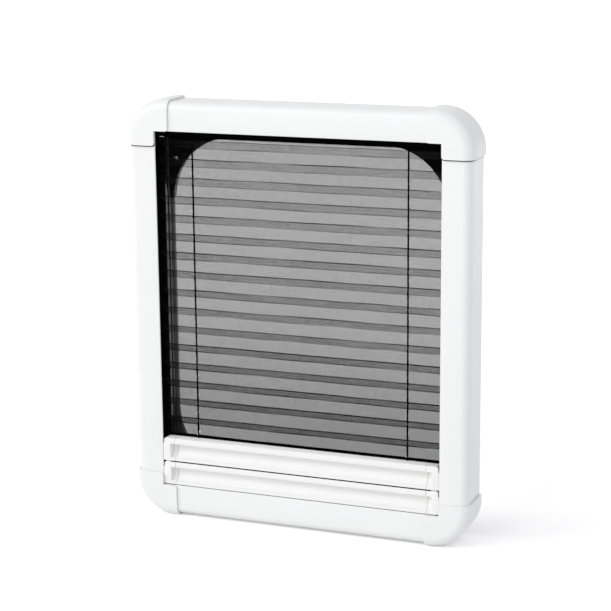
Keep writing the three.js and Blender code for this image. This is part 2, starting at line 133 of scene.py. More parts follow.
def grained(name, colour, shade, grain, relief, roughness, spread, metallic=0, ior=1.5, gloss=0.5):
    """A coated, moulded or rolled surface: a grain roughens and lifts it, and its tint drifts slowly.

    Most real grains are too fine to show, so they are drawn coarser, at 0.4 to 1 mm.
    """
    made = bpy.data.materials.new(name)
    made.use_nodes = True
    tree = made.node_tree
    surface = tree.nodes["Principled BSDF"]
    surface.inputs["Metallic"].default_value = metallic
    if not metallic:
        surface.inputs["IOR"].default_value = ior
        surface.inputs["Specular IOR Level"].default_value = gloss
    place = add_node(tree, "ShaderNodeTexCoord")
    fine = add_node(
        tree,
        "ShaderNodeTexNoise",
        {"Scale": 1 / (grain * millimetre), "Detail": 2, "Roughness": 0.55},
        {"Vector": place.outputs["Object"]},
    )
    broad = add_node(
        tree,
        "ShaderNodeTexNoise",
        {"Scale": 1 / (broad_tone * millimetre), "Detail": 3},
        {"Vector": place.outputs["Object"]},
    )
    tint = add_node(
        tree,
        "ShaderNodeMix",
        {"data_type": "RGBA", 6: linear(colour), 7: linear(shade)},
        {0: broad.outputs["Fac"]},
    )
    tree.links.new(tint.outputs[2], surface.inputs["Base Color"])
    mixed = add_node(
        tree,
        "ShaderNodeMath",
        {"operation": "MULTIPLY"},
        {0: fine.outputs["Fac"], 1: broad.outputs["Fac"]},
    )
    rough = add_node(
        tree,
        "ShaderNodeMapRange",
        {"From Max": 0.5, "To Min": roughness - spread, "To Max": roughness + spread},
        {"Value": mixed.outputs[0]},
    )
    tree.links.new(rough.outputs[0], surface.inputs["Roughness"])
    lift = add_node(
        tree,
        "ShaderNodeBump",
        {"Strength": 1, "Distance": relief * millimetre},
        {"Height": fine.outputs["Fac"]},
    )
    tree.links.new(lift.outputs[0], surface.inputs["Normal"])
    return made


def arc(a, b, radius, start, end, steps):
    """Points of an arc, with its angles in degrees."""
    turns = [math.radians(start + (end - start) * i / steps) for i in range(steps + 1)]
    return [(a + radius * math.cos(t), b + radius * math.sin(t)) for t in turns]


def extruded(outlines, start, end, place):
    """Runs a section, which is an outline and any holes in it, from start to end."""
    flat = [point for outline in outlines for point in outline]
    points = [place(a, b, along) for along in (start, end) for a, b in flat]
    faces = []
    first = 0
    for outline in outlines:
        for i in range(len(outline)):
            this, after = first + i, first + (i + 1) % len(outline)
            faces.append((this, after, after + len(flat), this + len(flat)))
        first += len(outline)
    lid = tessellate_polygon([[Vector((a, b, 0)) for a, b in outline] for outline in outlines])
    faces += [tuple(corners) for corners in lid]
    faces += [tuple(i + len(flat) for i in corners) for corners in lid]
    return points, faces


def make_piece(name, points, faces, finish, body="frame", side=1, solid=True):
    """A closed piece from points in millimetres; side -1 mirrors it to the left."""
    mesh = bpy.data.meshes.new(name)
    mesh.from_pydata([at(side * x, y, z) for x, y, z in points], [], faces)
    shape = bmesh.new()
    shape.from_mesh(mesh)
    bmesh.ops.recalc_face_normals(shape, faces=shape.faces)
    shape.to_mesh(mesh)
    shape.free()
    mesh.shade_smooth()
    mesh.set_sharp_from_angle(angle=math.radians(smooth_angle))
    mesh.materials.append(finish)
    piece = bpy.data.objects.new(name, mesh)
    bpy.context.scene.collection.objects.link(piece)
    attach(piece, body)
    if solid:
        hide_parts(name)
    return piece


def profile_section(face):
    """Measured inwards from the outer face, and backwards from the front."""
    return [
        (0, frame_depth),
        *arc(profile_round, profile_round, profile_round, 180, 270, profile_round_steps),
        *arc(face - profile_bead, profile_bead, profile_bead, -90, 0, profile_bead_steps),
        (face, profile_wall),
        *arc(
            profile_round, profile_round, profile_round - profile_wall, 270, 180, profile_inner_steps
        ),
        (profile_wall, frame_depth - profile_wall),
        (profile_wall + rear_flange, frame_depth - profile_wall),
        (profile_wall + rear_flange, frame_depth),
    ]


outer_x = frame_width / 2

# Powder coat gives a soft, even white, and its orange peel breaks up the edge of each highlight.
powder_coat = grained(
    "powder-coated aluminium",
    powder_white,
    powder_shade,
    grain=orange_peel,
    relief=orange_peel_relief,
    roughness=0.34,
    spread=0.05,
)
level_x = outer_x - profile_end
for name, face, place in (
    ("top_profile", top_face, lambda a, b, along: (along, b, frame_height - a)),
    ("bottom_profile", bottom_face, lambda a, b, along: (along, b, a)),
):
    points, faces = extruded([profile_section(face)], -level_x, level_x, place)
    make_piece(name, points, faces, powder_coat)
for name, side in (("side_profile_right", 1), ("side_profile_left", -1)):
    points, faces = extruded(
        [profile_section(side_face)],
        profile_end,
        frame_height - profile_end,
        lambda a, b, along: (outer_x - a, b, along),
    )
    make_piece(name, points, faces, powder_coat, side=side)

# Corner caps: four shells of white injection-moulded ABS, pushed over the profile ends.
# They stand a little proud of the profiles, and a rim closes their inner edge between the two ends.
cap_proud = 3.3
cap_leg = 62
cap_wall = 3
cap_corner_round = 58
cap_seam_round = 4
cap_rim_back = 2
cap_grip = 6
cap_edge = 0.8
cap_seam_steps = 6
cap_corner_steps = 24
cap_round_steps = 12
between_shares = (0.25, 0.5, 0.75)
bevel_angle = 40
moulded_white = "#ecedec"
moulded_shade = "#e8e9e8"
spark_texture = 0.9
spark_texture_relief = 0.01

# Moulded ABS gives a white as even as the coat, with a finer texture and a slightly wider sheen.
white_abs = grained(
    "moulded white ABS",
    moulded_white,
    moulded_shade,
    grain=spark_texture,
    relief=spark_texture_relief,
    roughness=0.38,
    spread=0.05,
)


def cap_stations(face):
    """Pairs of points, inwards from the side and from the level face: on the outer edge, on the inner."""
    bend = cap_corner_round - cap_proud
    straight = cap_leg - cap_seam_round
    level = []
    for step in range(cap_seam_steps + 1):
        turn = math.radians(90 * step / cap_seam_steps)
        inner = straight + cap_seam_round * math.cos(turn)
        level.append(((inner, -cap_proud), (inner, face - cap_seam_round * (1 - math.sin(turn)))))
    for share in between_shares:
        inner = straight + (bend - straight) * share
        level.append(((inner, -cap_proud), (inner, face)))
    corner = []
    for step in range(cap_corner_steps + 1):
        turn = math.radians(90 * step / cap_corner_steps)
        outer = (bend - cap_corner_round * math.sin(turn), bend - cap_corner_round * math.cos(turn))
        share = step / cap_corner_steps
        if share <= 0.5:
            inner = (bend + (side_face - bend) * share * 2, face)
        else:
            inner = (side_face, face + (bend - face) * (share * 2 - 1))
        corner.append((outer, inner))
    upright = []
    for share in between_shares:
        inner = bend + (straight - bend) * share
        upright.append(((-cap_proud, inner), (side_face, inner)))
    for step in range(cap_seam_steps + 1):
        turn = math.radians(90 * step / cap_seam_steps)
        inner = straight + cap_seam_round * math.sin(turn)
        across = side_face - cap_seam_round * (1 - math.cos(turn))
        upright.append(((-cap_proud, inner), (across, inner)))
    return level + corner + upright


def cap_shell(face, height_of):
    """The outer skin of a cap as rows from the wall side over the rounded edge to the inner edge."""
    edge = profile_round + cap_proud
    stations = cap_stations(face)
    rows = 0
    points = []
    for (u0, v0), (u1, v1) in stations:
        bend = cap_corner_round - cap_proud
        centre = Vector((max(u0, bend), max(v0, bend)))
        normal = (centre - Vector((u0, v0))).normalized()
        if u0 >= bend:
            normal = Vector((0, 1))
        if v0 >= bend:
            normal = Vector((1, 0))
        # One column of points runs up the side, round the edge and across the face.
        column = [(u0, v0, frame_depth), (u0, v0, frame_depth / 2), (u0, v0, profile_round)]
        for step in range(1, cap_round_steps + 1):
            turn = math.radians(90 * step / cap_round_steps)
            inwards = edge * (1 - math.cos(turn))
            column.append(
                (u0 + normal.x * inwards, v0 + normal.y * inwards, profile_round - edge * math.sin(turn))
            )
        start_u, start_v, flat_y = column[-1]
        for share in (*between_shares, 1):
            column.append((start_u + (u1 - start_u) * share, start_v + (v1 - start_v) * share, flat_y))
        column.append((u1, v1, cap_rim_back))
        rows = len(column)
        points += [(outer_x - u, y, height_of(v)) for u, v, y in column]
    faces = []
    rim_reach = cap_leg - cap_grip
    for i in range(len(stations) - 1):
        inner_edges = [stations[i][1], stations[i + 1][1]]
        rimmed = all(max(u, v) <= rim_reach for u, v in inner_edges)
        for j in range(rows - 1):
            if j < rows - 2 or rimmed:
                faces.append((i * rows + j, i * rows + j + 1, (i + 1) * rows + j + 1, (i + 1) * rows + j))
    return points, faces


def ease(piece, edge, steps=2):
    """Rounds a piece's sharp edges, and keeps its flat faces flat in the light."""
    bevel = piece.modifiers.new("eased edges", "BEVEL")
    bevel.width = edge * millimetre
    bevel.segments = steps
    bevel.limit_method = "ANGLE"
    bevel.angle_limit = math.radians(bevel_angle)
    bevel.harden_normals = True


def close_shell(piece, wall):
    """Gives a skin its wall, to the inside."""
    lone = bmesh.new()
    lone.from_mesh(piece.data)
    bmesh.ops.delete(lone, geom=[v for v in lone.verts if not v.link_faces], context="VERTS")
    lone.to_mesh(piece.data)
    lone.free()
    shell = piece.modifiers.new("wall", "SOLIDIFY")
    shell.thickness = wall * millimetre
    shell.offset = -1
    shell.use_even_offset = True


for end, face, height_of in (
    ("top", top_face, lambda inwards: frame_height - inwards),
    ("bottom", bottom_face, lambda inwards: inwards),
):
    points, faces = cap_shell(face, height_of)
    for name, side in (("right", 1), ("left", -1)):
        cap = make_piece(f"corner_cap_{end}_{name}", points, faces, white_abs, side=side)
        close_shell(cap, cap_wall)
        ease(cap, cap_edge, steps=3)

# Cap shadow strips: thin black strips, drawn as an extruded section and laid round the two uprights.
# Each paints the shadow under the lower end of a top cap, and follows the cap's rounded inner corner.
shadow_strip_height = 1.5
shadow_strip_proud = 1.2
shadow_strip_back = 57
shadow_strip_overlap = 0.2
shadow_strip_corner_steps = 6
shadow_strip_inner_steps = 8

# A soft dull black, with hardly a highlight, for the strips of painted shade under the caps and in the bar
# gap.
shade_strip_black = grained(
    "black for painted shade strips", "#101011", "#171718", grain=1, relief=0.02, roughness=0.7, spread=0.08, gloss=0.1
)
shadow_strip_top = frame_height - cap_leg
shadow_strip_inner = side_face - cap_seam_round
shadow_strip_outline = [
    (0, shadow_strip_back),
    *arc(profile_round, profile_round, profile_round, 180, 270, profile_round_steps),
    (shadow_strip_inner, 0),
    (shadow_strip_inner, -shadow_strip_proud),
    *arc(profile_round, profile_round, profile_round + shadow_strip_proud, 270, 180, profile_round_steps),
    (-shadow_strip_proud, shadow_strip_back),
]
corner_reach = cap_seam_round + shadow_strip_height
corner_end = math.degrees(math.acos(cap_seam_round / corner_reach))
corner_level = cap_leg - cap_seam_round
shadow_strip_corner = [
    *arc(shadow_strip_inner, corner_level, corner_reach, 90, corner_end, shadow_strip_corner_steps),
    *arc(shadow_strip_inner, corner_level, cap_seam_round, 0, 90, shadow_strip_inner_steps),
]
straight_points, straight_faces = extruded(
    [shadow_strip_outline], shadow_strip_top - shadow_strip_height, shadow_strip_top, lambda a, b, along: (outer_x - a, b, along)
)
bent_points, bent_faces = extruded(
    [shadow_strip_corner],
    -shadow_strip_proud,
    shadow_strip_overlap,
    lambda a, b, along: (outer_x - a, along, frame_height - b),
)
shadow_strip_points = straight_points + bent_points
shadow_strip_faces = straight_faces + [tuple(i + len(straight_points) for i in face) for face in bent_faces]
# Each strip is a dark band under a top cap: a painted shadow.
for name, side in (("right", 1), ("left", -1)):
    make_piece(
        f"cap_shadow_strip_{name}", shadow_strip_points, shadow_strip_faces, shade_strip_black, side=side, solid=False
    )

# Corner brackets: bent angles of natural nylon, injection moulded, which plug into two profiles.
# The caps cover them, and they show only from the wall side.
bracket_edge = 0.8
weld_reach = 0.001
flat_angle = 1

# Natural nylon gives a milky, slightly waxy grey.
natural_nylon = grained(
    "moulded natural nylon",
    "#c9cac6",
    "#bebfba",
    grain=0.8,
    relief=0.012,
    roughness=0.45,
    spread=0.06,
    ior=1.53,
)
cap_ends = ("top_right", "top_left", "bottom_right", "bottom_left")


def soften(node, edge, finish):
    """A piece with the solid's own shape, its flat faces made whole and its edges rounded."""
    source = frame["nodes"][node]
    mesh = source.data.copy()
    shape = bmesh.new()
    shape.from_mesh(mesh)
    bmesh.ops.remove_doubles(shape, verts=shape.verts, dist=weld_reach * millimetre)
    bmesh.ops.dissolve_limit(
        shape, angle_limit=math.radians(flat_angle), verts=shape.verts, edges=shape.edges
    )
    bmesh.ops.recalc_face_normals(shape, faces=shape.faces)
    shape.to_mesh(mesh)
    shape.free()
    mesh.shade_smooth()
    mesh.set_sharp_from_angle(angle=math.radians(smooth_angle))
    mesh.materials.clear()
    mesh.materials.append(finish)
    piece = bpy.data.objects.new(f"{node}_eased", mesh)
    bpy.context.scene.collection.objects.link(piece)
    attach(piece, source["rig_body"])
    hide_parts(node)
    ease(piece, edge)
    return piece


for end in cap_ends:
    soften(f"corner_bracket_{end}", bracket_edge, natural_nylon)

# Inner frame: the guide tracks, the header channel, the sill tray and the corner infills, all in black ABS.
# Tracks, header and tray are extruded and the infills moulded, and all sit behind the white profiles.
# The front of each track is drawn darker and duller as painted shade, and the lower infills lighter as
# painted light.
track_edge = 0.35
painted_shade_back = 32.3

# Extruded ABS gives pale upright streaks on black, from its smooth face; its IOR is raised to show them.
# Its colour is lifted from black to a dark grey: painted light, for the light that falls on it from behind.
black_abs_painted_lighter = grained(
    "extruded black ABS with painted light",
    "#303032",
    "#38383a",
    grain=0.7,
    relief=0.004,
    roughness=0.08,
    spread=0.02,
    ior=1.9,
    gloss=1,
)

# Textured ABS gives a deep, flat black that swallows the light in the header.
matt_abs = grained(
    "textured black ABS", "#030303", "#060606", grain=0.9, relief=0.03, roughness=0.7, spread=0.08, gloss=0
)

# Moulded ABS gives a dull and slightly warm black.
moulded_abs = grained(
    "moulded black ABS", "#050505", "#090808", grain=0.9, relief=0.02, roughness=0.8, spread=0.08, gloss=0
)

# The same ABS drawn a dull grey-brown, far lighter than black: painted light, where more light reaches the
# lower infills.
painted_light_abs = grained(
    "moulded black ABS with painted light", "#6a625b", "#5e5750", grain=0.9, relief=0.02, roughness=0.6, spread=0.08
)

# A darker black with no highlight paints the shade on the front of each track, so that it looks like an
# empty black gap.
painted_shade_black = grained(
    "black with painted shade", "#030303", "#050505", grain=0.6, relief=0.05, roughness=0.9, spread=0.05, gloss=0
)

# Each track shows three finishes: painted shade in front, then bare plastic lightened by painted light,
# and a dull cut face towards the wall.
for node in ("guide_track_right", "guide_track_left"):
    track = soften(node, track_edge, black_abs_painted_lighter)
    track.data.materials.append(painted_shade_black)
    track.data.materials.append(moulded_abs)
    shape = bmesh.new()
    shape.from_mesh(track.data)
    everything = shape.verts[:] + shape.edges[:] + shape.faces[:]
    bmesh.ops.bisect_plane(shape, geom=everything, plane_co=at(0, painted_shade_back, 0), plane_no=(0, 1, 0))
    for facet in shape.faces:
        if facet.calc_center_median().y < at(0, painted_shade_back, 0).y:
            facet.material_index = 1
        elif facet.normal.y > 0.5:
            facet.material_index = 2
    shape.to_mesh(track.data)
    shape.free()
for node in ("header_channel", "sill_tray"):
    soften(node, track_edge, matt_abs)
for end in cap_ends:
    # The lower infills are painted lighter than the upper ones, which keep the plain black: painted light.
    infill_finish = moulded_abs if end.startswith("top") else painted_light_abs
    soften(f"corner_infill_{end}", track_edge, infill_finish)

# Infill rims: a thin black flange behind the concave edge of each infill plate, moulded with it.
# It runs back towards the wall, less far at the bottom, and its smooth inside catches light from behind.
rim_radius = 90
rim_thickness = 1.2
rim_front = 49.2
rim_backs = {"top": 59.6, "bottom": 54.6}
rim_centre_x = 114.7
rim_start = 2
rim_end = 79
rim_steps = 24
rim_levels = {"top": 458.5, "bottom": 149}
for end, level in rim_levels.items():
    up = 1 if end == "top" else -1
    rim = [
        *arc(0, 0, rim_radius, rim_start, rim_end, rim_steps),
        *arc(0, 0, rim_radius + rim_thickness, rim_end, rim_start, rim_steps),
    ]
    points, faces = extruded(
        [rim], rim_front, rim_backs[end], lambda a, b, along: (rim_centre_x + a, along, level + up * b)
    )
    for name, side in (("right", 1), ("left", -1)):
        make_piece(
            f"infill_rim_{end}_{name}", points, faces, black_abs_painted_lighter, side=side, solid=False
        )

# Fixing screws: pan heads with a hexagonal socket, cold formed steel with bright zinc plating.
# Each goes through an infill plate and its boss into the wall.
screw_x = 199
screw_heights = {"top": 517.5, "bottom": 90}
screw_front = 47
screw_head_radius = 3.3
screw_head_height = 1.7
screw_shank_radius = 1.9
screw_socket_radius = 1.5
screw_socket_depth = 0.85
screw_socket_edge = 0.15
screw_socket_lip = 0.1
screw_crown = 1.2
screw_crown_height = 1.0
screw_crown_back = 0.02
screw_steps = 24
crown_steps = 6
screw_end = 59.7
thread_pitch = 1.4
thread_height = 0.25

# Zinc plate gives a cold silver with a small sharp highlight.
zinc_plate = grained(
    "zinc-plated steel",
    "#f2f4f6",
    "#e6e8ea",
    grain=0.5,
    relief=0.004,
    roughness=0.2,
    spread=0.06,
    metallic=1,
)


def skin(rings, joined=False):
    """Faces between rings of points, with a lid on both ends, or joined end to end."""
    count = len(rings[0])
    points = [point for ring in rings for point in ring]
    faces = []
    for i in range(len(rings) if joined else len(rings) - 1):
        here, there = i * count, (i + 1) % len(rings) * count
        for j in range(count):
            after = (j + 1) % count
            faces.append((here + j, here + after, there + after, there + j))
    if not joined:
        faces.append(tuple(range(count)))
        faces.append(tuple(range(len(points) - count, len(points))))
    return points, faces


def screw_rings(x, z):
    """The rings of a screw, from the bottom of its socket over the head to the end of its thread."""
    turns = [2 * math.pi * i / screw_steps for i in range(screw_steps)]

    def ring(radius, y, hexagonal=False):
        places = []
        for turn in turns:
            reach = radius
            if hexagonal:
                reach *= math.cos(math.pi / 6) / math.cos(turn % (math.pi / 3) - math.pi / 6)
            places.append((x + reach * math.cos(turn), y, z + reach * math.sin(turn)))
        return places

    rings = [
        ring(screw_socket_radius, screw_front + screw_socket_depth, True),
        ring(screw_socket_radius, screw_front + screw_socket_lip, True),
        ring(screw_socket_radius + screw_socket_edge, screw_front, True),
    ]
    for step in range(crown_steps + 1):
        turn = math.radians(90 * step / crown_steps)
        crown = screw_head_radius - screw_crown + screw_crown * math.sin(turn)
        crown_y = screw_front + screw_crown_back + screw_crown_height * (1 - math.cos(turn))
        rings.append(ring(crown, crown_y))
    rings.append(ring(screw_head_radius, screw_front + screw_head_height))
    depth = screw_front + screw_head_height
    root = screw_shank_radius - thread_height
    rings.append(ring(root, depth))
    while depth + thread_pitch < screw_end:
        for share, radius in ((0.3, root), (0.5, screw_shank_radius), (0.7, root)):
            rings.append(ring(radius, depth + share * thread_pitch))
        depth += thread_pitch
    rings.append(ring(root, screw_end))
    return rings


for end, z in screw_heights.items():
    points, faces = skin(screw_rings(screw_x, z))
    for name, side in (("right", 1), ("left", -1)):
        make_piece(f"fixing_screw_{end}_{name}", points, faces, zinc_plate, side=side)

# Tension cords: two-ply twisted polyester cord, 2.9 mm thick over the twist, dyed black.
# Each is held straight from its spring in the header, through both bars, to its end under the tray.
cord_x = 158.4
cord_y = 15
cord_radius = 1.45
ply_share = 0.8
cord_low = 7.7
cord_high = 579.6
cord_plies = 2
cord_lay = 12
cord_lay_steps = 16
ply_sides = 8
cord_fibre = 0.5


def twisted(x, y, low, high, radius):
    """Plies of a twisted cord, each a strand that winds about the cord's middle and is pressed into it."""
    strand = radius * ply_share
    points, faces = [], []
    count = int((high - low) / cord_lay * cord_lay_steps)
    for ply in range(cord_plies):
        rings = []
        for i in range(count + 1):
            z = low + (high - low) * i / count
            turn = 2 * math.pi * ((z - low) / cord_lay + ply / cord_plies)
            centre = Vector((math.cos(turn), math.sin(turn), 0)) * (radius - strand)
            lean = 2 * math.pi * (radius - strand) / cord_lay
            tangent = Vector((-math.sin(turn) * lean, math.cos(turn) * lean, 1)).normalized()
            outwards = Vector((math.cos(turn), math.sin(turn), 0))
            beside = tangent.cross(outwards)
            ring = []
            for j in range(ply_sides):
                around = 2 * math.pi * j / ply_sides
                spot = centre + (outwards * math.cos(around) + beside * math.sin(around)) * strand
                ring.append((x + spot.x, y + spot.y, z + spot.z))
            rings.append(ring)
        more_points, more_faces = skin(rings)
        faces += [tuple(i + len(points) for i in face) for face in more_faces]
        points += more_points
    return points, faces


# Twisted polyester gives a dull black line; its fibres are drawn coarser than real, so that they show.
black_polyester = grained(
    "twisted black polyester",
    "#040404",
    "#080808",
    grain=cord_fibre,
    relief=0.05,
    roughness=0.8,
    spread=0.1,
    gloss=0.02,
)
points, faces = twisted(cord_x, cord_y, cord_low, cord_high, cord_radius)
for name, side in (("right", 1), ("left", -1)):
    make_piece(f"tension_cord_{name}", points, faces, black_polyester, side=side)

# Cord springs: open coils of spring steel wire on top of the header's floor, which keep the cords tight.
# A brass ferrule is crimped on each cord above its spring, and another on its end under the tray.
spring_low = 558.3
spring_high = 572.3
spring_radius = 3.2
spring_wire = 0.6
spring_turns = 7
spring_steps = 20
spring_closing = 0.5
wire_sides = 8
ferrule_low = 572.6
ferrule_length = 5
cord_end_low = 9.7
cord_end_length = 6
ferrule_radius = 2.6
ferrule_bore = 1.2
ferrule_edge = 0.3
ferrule_steps = 24
crimp = 0.35
crimp_places = (0.33, 0.67)
crimp_reach = 0.6
crimp_flat = 0.25

# Drawn steel wire gives a bright grey line along each turn.
drawn_steel = grained(
    "drawn spring steel",
    "#b4b7ba",
    "#9c9fa3",
    grain=0.4,
    relief=0.004,
    roughness=0.28,
    spread=0.06,
    metallic=1,
)

# Turned brass gives a warm yellow gleam.
turned_brass = grained(
    "turned brass", "#b8954e", "#a88542", grain=0.5, relief=0.006, roughness=0.32, spread=0.06, metallic=1
)


def coil(x, y, low, high, radius, wire, turns):
    """A compression spring with level end turns, closed on their neighbours."""
    count = turns * spring_steps
    rings = []
    for i in range(count + 1):
        share = i / count
        eased = share - math.sin(4 * math.pi * share) / (4 * math.pi) * spring_closing
        z = low + wire + (high - low - 2 * wire) * eased
        turn = 2 * math.pi * i / spring_steps
        outwards = Vector((math.cos(turn), math.sin(turn), 0))
        centre = outwards * (radius - wire) + Vector((0, 0, z))
        ring = []
        for j in range(wire_sides):
            around = 2 * math.pi * j / wire_sides
            spot = centre + (outwards * math.cos(around) + Vector((0, 0, 1)) * math.sin(around)) * wire
            ring.append((x + spot.x, y + spot.y, spot.z))
        rings.append(ring)
    return skin(rings)


def crimped(x, y, low, length):
    """A sleeve with two pressed waists."""
    rim = ferrule_radius - ferrule_edge
    profile = [(ferrule_bore, 0), (rim, 0), (ferrule_radius, ferrule_edge)]
    for share in crimp_places:
        middle = length * share
        profile += [
            (ferrule_radius, middle - crimp_reach),
            (ferrule_radius - crimp, middle - crimp_flat),
            (ferrule_radius - crimp, middle + crimp_flat),
            (ferrule_radius, middle + crimp_reach),
        ]
    profile += [(ferrule_radius, length - ferrule_edge), (rim, length), (ferrule_bore, length)]
    rings = []
    for step in range(ferrule_steps):
        turn = 2 * math.pi * step / ferrule_steps
        rings.append([(x + r * math.cos(turn), y + r * math.sin(turn), low + h) for r, h in profile])
    return skin(rings, joined=True)


for name, side in (("right", 1), ("left", -1)):
    points, faces = coil(cord_x, cord_y, spring_low, spring_high, spring_radius, spring_wire, spring_turns)
    make_piece(f"tension_spring_{name}", points, faces, drawn_steel, side=side)
    for node, low, length in (
        ("cord_ferrule", ferrule_low, ferrule_length),
        ("cord_end", cord_end_low, cord_end_length),
    ):
        points, faces = crimped(cord_x, cord_y, low, length)
        make_piece(f"{node}_{name}", points, faces, turned_brass, side=side)

# Insect screen: PVC-coated fibreglass mesh, woven, pressed into 16 pleats and a hem at the upper bar.
# Its upper edge is held by the head clamp, and both cords run through holes punched in each fold.
pleat_front = 5.9
pleat_back = 24.1
pleat_count = 16
screen_top = 553.1
screen_bottom = 117
head_exit = 10.4
first_fold = 549.8
last_fold = 119.6
hem_front = 13
hem_back = 19
cloth_x = 207.4
hole_half = 1.55
thread_spacing = 1.4
thread_width = 0.51
screen_thickness = 0.18
# The shares below close more of the holes towards the bar, on the steeper pleats and near the head: painted
# shade.
shade_from = 290
shade_on_light_facets = 0.17
shade_on_dark_facets = 0.3
shade_at_head = 0.08
head_from = 430
crease_reach = 0.07
crease_strength = 1.8
crease_fade = 0.8
rear_crease = 0.45
wave_depth = 0.7
wave_height = 0.45
wave_short = 70
wave_long = 260
fold_lift = 1.2
cloth_smooth_angle = 30
crease_least = 0.4
crease_most = 0.9
crease_low_gain = 0.9
thread_blur = 0.2
thread_relief = 0.2
thread_fuzz = 3
thread_black = "#060505"
thread_shade = "#0b0909"
screen_column_step = 9


def waves(rng, size):
    """A slow ripple along a fold, as a sum of three sines."""
    parts = []
    for _ in range(3):
        height = rng.uniform(0.5, 1) * size / 3
        length = rng.uniform(wave_short, wave_long)
        parts.append((height, length, rng.uniform(0, 2 * math.pi)))
    return lambda x: sum(a * math.sin(2 * math.pi * x / length + phase) for a, length, phase in parts)


def column_places(step):
    """Places across the cloth, with a line on each side of both cord holes."""
    holes = [side * cord_x + reach for side in (-1, 1) for reach in (-hole_half, hole_half)]
    fixed = [-cloth_x, *holes, cloth_x]
    places = []
    for a, b in zip(fixed, fixed[1:]):
        count = max(1, round((b - a) / step))
        places += [a + (b - a) * i / count for i in range(count)]
    return places + [cloth_x]


def lower_share(z):
    """0 over the upper part of the opening, growing to 1 at the grip bar."""
    return min(1, max(0, (shade_from - z) / (shade_from - screen_bottom)))


def painted_shade_share(z, steep):
    """Painted shade, as a share of closed holes: most at the bar, on steep pleats, and a little at the top.
    """
    upper = min(1, max(0, (z - head_from) / (screen_top - head_from)))
    return lower_share(z) * (shade_on_dark_facets if steep else shade_on_light_facets) + upper * shade_at_head


def pleated(name, folds, row_shares, finish, ripple_y, ripple_z, seed, step):
    """A pleated cloth through its folds, given as depth and height, with a hole for each cord."""
    rng = random.Random(seed)
    shifts = [(waves(rng, ripple_y), waves(rng, ripple_z)) for _ in folds]
    still = (lambda x: 0, lambda x: 0)
    shifts[0] = shifts[-1] = still
    places = column_places(step)

    # Rows across each pleat, with the length of cloth up to them and how near they are to a fold.
    rows = []
    travelled = 0
    for k in range(len(folds) - 1):
        (y0, z0), (y1, z1) = folds[k], folds[k + 1]
        length = math.hypot(y1 - y0, z1 - z0)
        for share in row_shares:
            near = min(share, 1 - share)
            rows.append((k, share, travelled + share * length, max(0, 1 - near / crease_reach), y0 < y1))
        travelled += length
    rows.append((len(folds) - 2, 1, travelled, 0, True))
    sharpness = [
        rng.uniform(crease_least, crease_most) + crease_low_gain * lower_share(z) for y, z in folds
    ]
    fading = [waves(rng, crease_fade) for _ in folds]

    # Points of the cloth, and how dark each is: most at a fold towards the front, and unevenly along it.
    # Painted shade darkens the folds towards the bar and closes more of the cloth there, on steep pleats and
    # at the head.
    points, crease_and_shade, cloth_places = [], [], []
    for k, share, along, crease, from_front in rows:
        (y0, z0), (y1, z1) = folds[k], folds[k + 1]
        for x in places:
            y = y0 + (y1 - y0) * share + shifts[k][0](x) * (1 - share) + shifts[k + 1][0](x) * share
            z = z0 + (z1 - z0) * share + shifts[k][1](x) * (1 - share) + shifts[k + 1][1](x) * share
            points.append((x, y, z))
            at_front = (share < 0.5) == from_front
            fold = k if share < 0.5 else k + 1
            pressed = sharpness[fold] * max(0, 1 + fading[fold](x))
            shade_here = painted_shade_share(z, from_front) / crease_strength
            crease_and_shade.append(max(shade_here, crease * pressed * (1 if at_front else rear_crease)))
            cloth_places.append((x * millimetre, along * millimetre))

    # Faces at the cords are left out, which punches the holes.
    faces = []
    width = len(places)
    for i in range(len(rows) - 1):
        for j in range(width - 1):
            corners = (i * width + j, i * width + j + 1, (i + 1) * width + j + 1, (i + 1) * width + j)
            middle_x = abs(sum(points[c][0] for c in corners) / 4)
            middle_y = sum(points[c][1] for c in corners) / 4
            if abs(middle_x - cord_x) < hole_half and abs(middle_y - cord_y) < hole_half:
                continue
            faces.append(corners)
    mesh = bpy.data.meshes.new(name)
    mesh.from_pydata([at(*p) for p in points], [], faces)
    mesh.materials.append(finish)
    sheet_map = mesh.uv_layers.new(name="cloth")
    for loop in mesh.loops:
        sheet_map.data[loop.index].uv = cloth_places[loop.vertex_index]
    mesh.attributes.new("crease", "FLOAT", "POINT").data.foreach_set("value", crease_and_shade)
    mesh.shade_smooth()
    mesh.set_sharp_from_angle(angle=math.radians(cloth_smooth_angle))
    piece = bpy.data.objects.new(name, mesh)
    bpy.context.scene.collection.objects.link(piece)
    return piece, travelled


